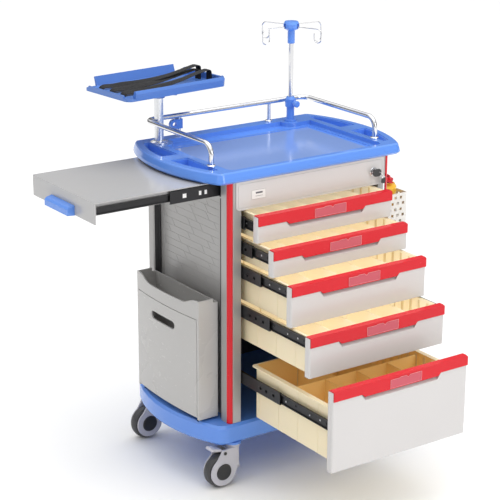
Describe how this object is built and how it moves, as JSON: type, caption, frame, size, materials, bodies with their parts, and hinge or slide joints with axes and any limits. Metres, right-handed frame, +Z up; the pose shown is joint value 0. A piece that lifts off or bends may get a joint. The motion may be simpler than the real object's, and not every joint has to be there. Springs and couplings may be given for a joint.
{
  "type": "crash cart",
  "caption": "Hospital crash cart on castors with open drawers, a side shelf, a waste bin, a railed top tray, a turning platform, a sharps jar and an infusion pole.",
  "frame": {"origin": "on the floor under the middle of the whole object's outline, with the drawers and side shelf standing open as stored", "axes": "+X to the cart's right as seen from its drawer side, +Y to its back, +Z up"},
  "size_m": [1.076, 0.9586, 1.235],
  "materials": {
    "blue_moulding": "glossy moulded plastic, light moulding grain",
    "red_moulding": "satin-gloss moulded plastic",
    "pale_front": "satin light warm grey plastic",
    "grey_panel": "satin mid grey plastic with pressed relief",
    "grey_post": "satin powder-coated aluminium extrusion",
    "cream_tub": "satin cream moulded plastic",
    "black_slide": "black zinc-dipped steel, light grease",
    "bright_steel": "polished tube",
    "post_tube": "satin anodised tube",
    "shelf_sheet": "satin grey powder-coated sheet",
    "white_wire": "white moulded plastic",
    "yellow_jar": "glossy yellow plastic",
    "key_black": "black moulded plastic",
    "castor_shell": "satin grey plastic",
    "castor_tyre": "dark non-marking rubber"
  },
  "bodies": {
    "cart": {"base": "blue_moulding", "corner_posts": "grey_post", "corner_strips": "red_moulding", "side_panels": "grey_panel", "back_panel": "grey_panel", "top_tray": "blue_moulding", "fascia": "pale_front", "slide_guides": "black_slide", "guard_rail": "bright_steel", "rail_clamp": "blue_moulding", "platform_post": "post_tube", "pole_sleeve": "blue_moulding", "bin_housing": "grey_panel", "sharps_basket": "white_wire"},
    "drawer_1": {"front_1": "pale_front", "handle_1": "red_moulding", "tub_1": "cream_tub", "runner_1": "black_slide"},
    "middle_slide_1": {"slide_1": "black_slide"},
    "drawer_2": {"front_2": "pale_front", "handle_2": "red_moulding", "tub_2": "cream_tub", "runner_2": "black_slide"},
    "middle_slide_2": {"slide_2": "black_slide"},
    "drawer_3": {"front_3": "pale_front", "handle_3": "red_moulding", "tub_3": "cream_tub", "runner_3": "black_slide"},
    "middle_slide_3": {"slide_3": "black_slide"},
    "drawer_4": {"front_4": "pale_front", "handle_4": "red_moulding", "tub_4": "cream_tub", "runner_4": "black_slide"},
    "middle_slide_4": {"slide_4": "black_slide"},
    "drawer_5": {"front_5": "pale_front", "handle_5": "red_moulding", "tub_5": "cream_tub", "runner_5": "black_slide"},
    "middle_slide_5": {"slide_5": "black_slide"},
    "side_shelf": {"side_shelf": "shelf_sheet", "shelf_handle": "blue_moulding"},
    "shelf_runners": {"shelf_runners": "black_slide"},
    "bin_door": {"bin_door": "grey_panel"},
    "platform": {"platform": "blue_moulding"},
    "infusion_pole": {"infusion_pole": "bright_steel", "infusion_head": "blue_moulding"},
    "sharps_jar": {"sharps_jar": "yellow_jar"},
    "sharps_lid": {"sharps_lid": "red_moulding"},
    "lock_key": {"lock_key": "key_black"},
    "spare_key": {"spare_key": "key_black"},
    "castor_fl": {"fork_fl": "castor_shell"},
    "wheel_fl": {"wheel_fl": "castor_tyre"},
    "pedal_fl": {"pedal_fl": "castor_shell"},
    "castor_fr": {"fork_fr": "castor_shell"},
    "wheel_fr": {"wheel_fr": "castor_tyre"},
    "pedal_fr": {"pedal_fr": "castor_shell"},
    "castor_rl": {"fork_rl": "castor_shell"},
    "wheel_rl": {"wheel_rl": "castor_tyre"},
    "castor_rr": {"fork_rr": "castor_shell"},
    "wheel_rr": {"wheel_rr": "castor_tyre"}
  },
  "joints": [
    {"name": "drawer_1_travel", "type": "slide", "parent": "cart", "child": "drawer_1", "axis": [0, -1, 0], "range_m": [-0.078, 0.346]},
    {"name": "middle_slide_1_travel", "type": "slide", "parent": "cart", "child": "middle_slide_1", "axis": [0, -1, 0], "range_m": [-0.039, 0.173]},
    {"name": "drawer_2_travel", "type": "slide", "parent": "cart", "child": "drawer_2", "axis": [0, -1, 0], "range_m": [-0.15, 0.274]},
    {"name": "middle_slide_2_travel", "type": "slide", "parent": "cart", "child": "middle_slide_2", "axis": [0, -1, 0], "range_m": [-0.075, 0.137]},
    {"name": "drawer_3_travel", "type": "slide", "parent": "cart", "child": "drawer_3", "axis": [0, -1, 0], "range_m": [-0.235, 0.189]},
    {"name": "middle_slide_3_travel", "type": "slide", "parent": "cart", "child": "middle_slide_3", "axis": [0, -1, 0], "range_m": [-0.1175, 0.0945]},
    {"name": "drawer_4_travel", "type": "slide", "parent": "cart", "child": "drawer_4", "axis": [0, -1, 0], "range_m": [-0.32, 0.104]},
    {"name": "middle_slide_4_travel", "type": "slide", "parent": "cart", "child": "middle_slide_4", "axis": [0, -1, 0], "range_m": [-0.16, 0.052]},
    {"name": "drawer_5_travel", "type": "slide", "parent": "cart", "child": "drawer_5", "axis": [0, -1, 0], "range_m": [-0.424, 0]},
    {"name": "middle_slide_5_travel", "type": "slide", "parent": "cart", "child": "middle_slide_5", "axis": [0, -1, 0], "range_m": [-0.212, 0]},
    {"name": "side_shelf_travel", "type": "slide", "parent": "cart", "child": "side_shelf", "axis": [-1, 0, 0], "range_m": [-0.39, 0]},
    {"name": "shelf_runner_travel", "type": "slide", "parent": "cart", "child": "shelf_runners", "axis": [-1, 0, 0], "range_m": [-0.195, 0]},
    {"name": "bin_door_tilt", "type": "hinge", "parent": "cart", "child": "bin_door", "pos_m": [-0.187, 0.1585, 0.213], "axis": [0, -1, 0], "range_deg": [0, 35]},
    {"name": "platform_turn", "type": "hinge", "parent": "cart", "child": "platform", "pos_m": [-0.111, 0.3235, 1.085], "axis": [0, 0, 1], "continuous": true},
    {"name": "infusion_pole_rise", "type": "slide", "parent": "cart", "child": "infusion_pole", "axis": [0, 0, 1], "range_m": [0, 0.35]},
    {"name": "sharps_jar_lower", "type": "slide", "parent": "cart", "child": "sharps_jar", "axis": [0, 0, -1], "range_m": [-0.09, 0]},
    {"name": "sharps_lid_open", "type": "hinge", "parent": "sharps_jar", "child": "sharps_lid", "pos_m": [0.4865, 0.0834, 0.7931], "axis": [-1, 0, 0], "range_deg": [0, 100]},
    {"name": "lock_key_turn", "type": "hinge", "parent": "cart", "child": "lock_key", "pos_m": [0.371, -0.0631, 0.857], "axis": [0, -1, 0], "range_deg": [0, 90]},
    {"name": "spare_key_swing", "type": "hinge", "parent": "lock_key", "child": "spare_key", "pos_m": [0.382, -0.0778, 0.857], "axis": [0, 1, 0], "range_deg": [-25, 12]},
    {"name": "castor_fl_swivel", "type": "hinge", "parent": "cart", "child": "castor_fl", "pos_m": [-0.105, -0.0445, 0.118], "axis": [0, 0, 1], "continuous": true},
    {"name": "wheel_fl_spin", "type": "hinge", "parent": "castor_fl", "child": "wheel_fl", "pos_m": [-0.148, -0.0445, 0.05], "axis": [0, 1, 0], "continuous": true},
    {"name": "pedal_fl_press", "type": "hinge", "parent": "castor_fl", "child": "pedal_fl", "pos_m": [-0.144, -0.0445, 0.107], "axis": [0, -1, 0], "range_deg": [0, 12]},
    {"name": "castor_fr_swivel", "type": "hinge", "parent": "cart", "child": "castor_fr", "pos_m": [0.409, -0.0445, 0.118], "axis": [0, 0, 1], "continuous": true},
    {"name": "wheel_fr_spin", "type": "hinge", "parent": "castor_fr", "child": "wheel_fr", "pos_m": [0.366, -0.0445, 0.05], "axis": [0, 1, 0], "continuous": true},
    {"name": "pedal_fr_press", "type": "hinge", "parent": "castor_fr", "child": "pedal_fr", "pos_m": [0.37, -0.0445, 0.107], "axis": [0, -1, 0], "range_deg": [0, 12]},
    {"name": "castor_rl_swivel", "type": "hinge", "parent": "cart", "child": "castor_rl", "pos_m": [-0.105, 0.3615, 0.118], "axis": [0, 0, 1], "continuous": true},
    {"name": "wheel_rl_spin", "type": "hinge", "parent": "castor_rl", "child": "wheel_rl", "pos_m": [-0.148, 0.3615, 0.05], "axis": [0, 1, 0], "continuous": true},
    {"name": "castor_rr_swivel", "type": "hinge", "parent": "cart", "child": "castor_rr", "pos_m": [0.409, 0.3615, 0.118], "axis": [0, 0, 1], "continuous": true},
    {"name": "wheel_rr_spin", "type": "hinge", "parent": "castor_rr", "child": "wheel_rr", "pos_m": [0.366, 0.3615, 0.05], "axis": [0, 1, 0], "continuous": true}
  ],
  "couplings": [
    {"joint": "middle_slide_1_travel", "follows": "drawer_1_travel", "ratio": 0.5},
    {"joint": "middle_slide_2_travel", "follows": "drawer_2_travel", "ratio": 0.5},
    {"joint": "middle_slide_3_travel", "follows": "drawer_3_travel", "ratio": 0.5},
    {"joint": "middle_slide_4_travel", "follows": "drawer_4_travel", "ratio": 0.5},
    {"joint": "middle_slide_5_travel", "follows": "drawer_5_travel", "ratio": 0.5},
    {"joint": "shelf_runner_travel", "follows": "side_shelf_travel", "ratio": 0.5}
  ]
}
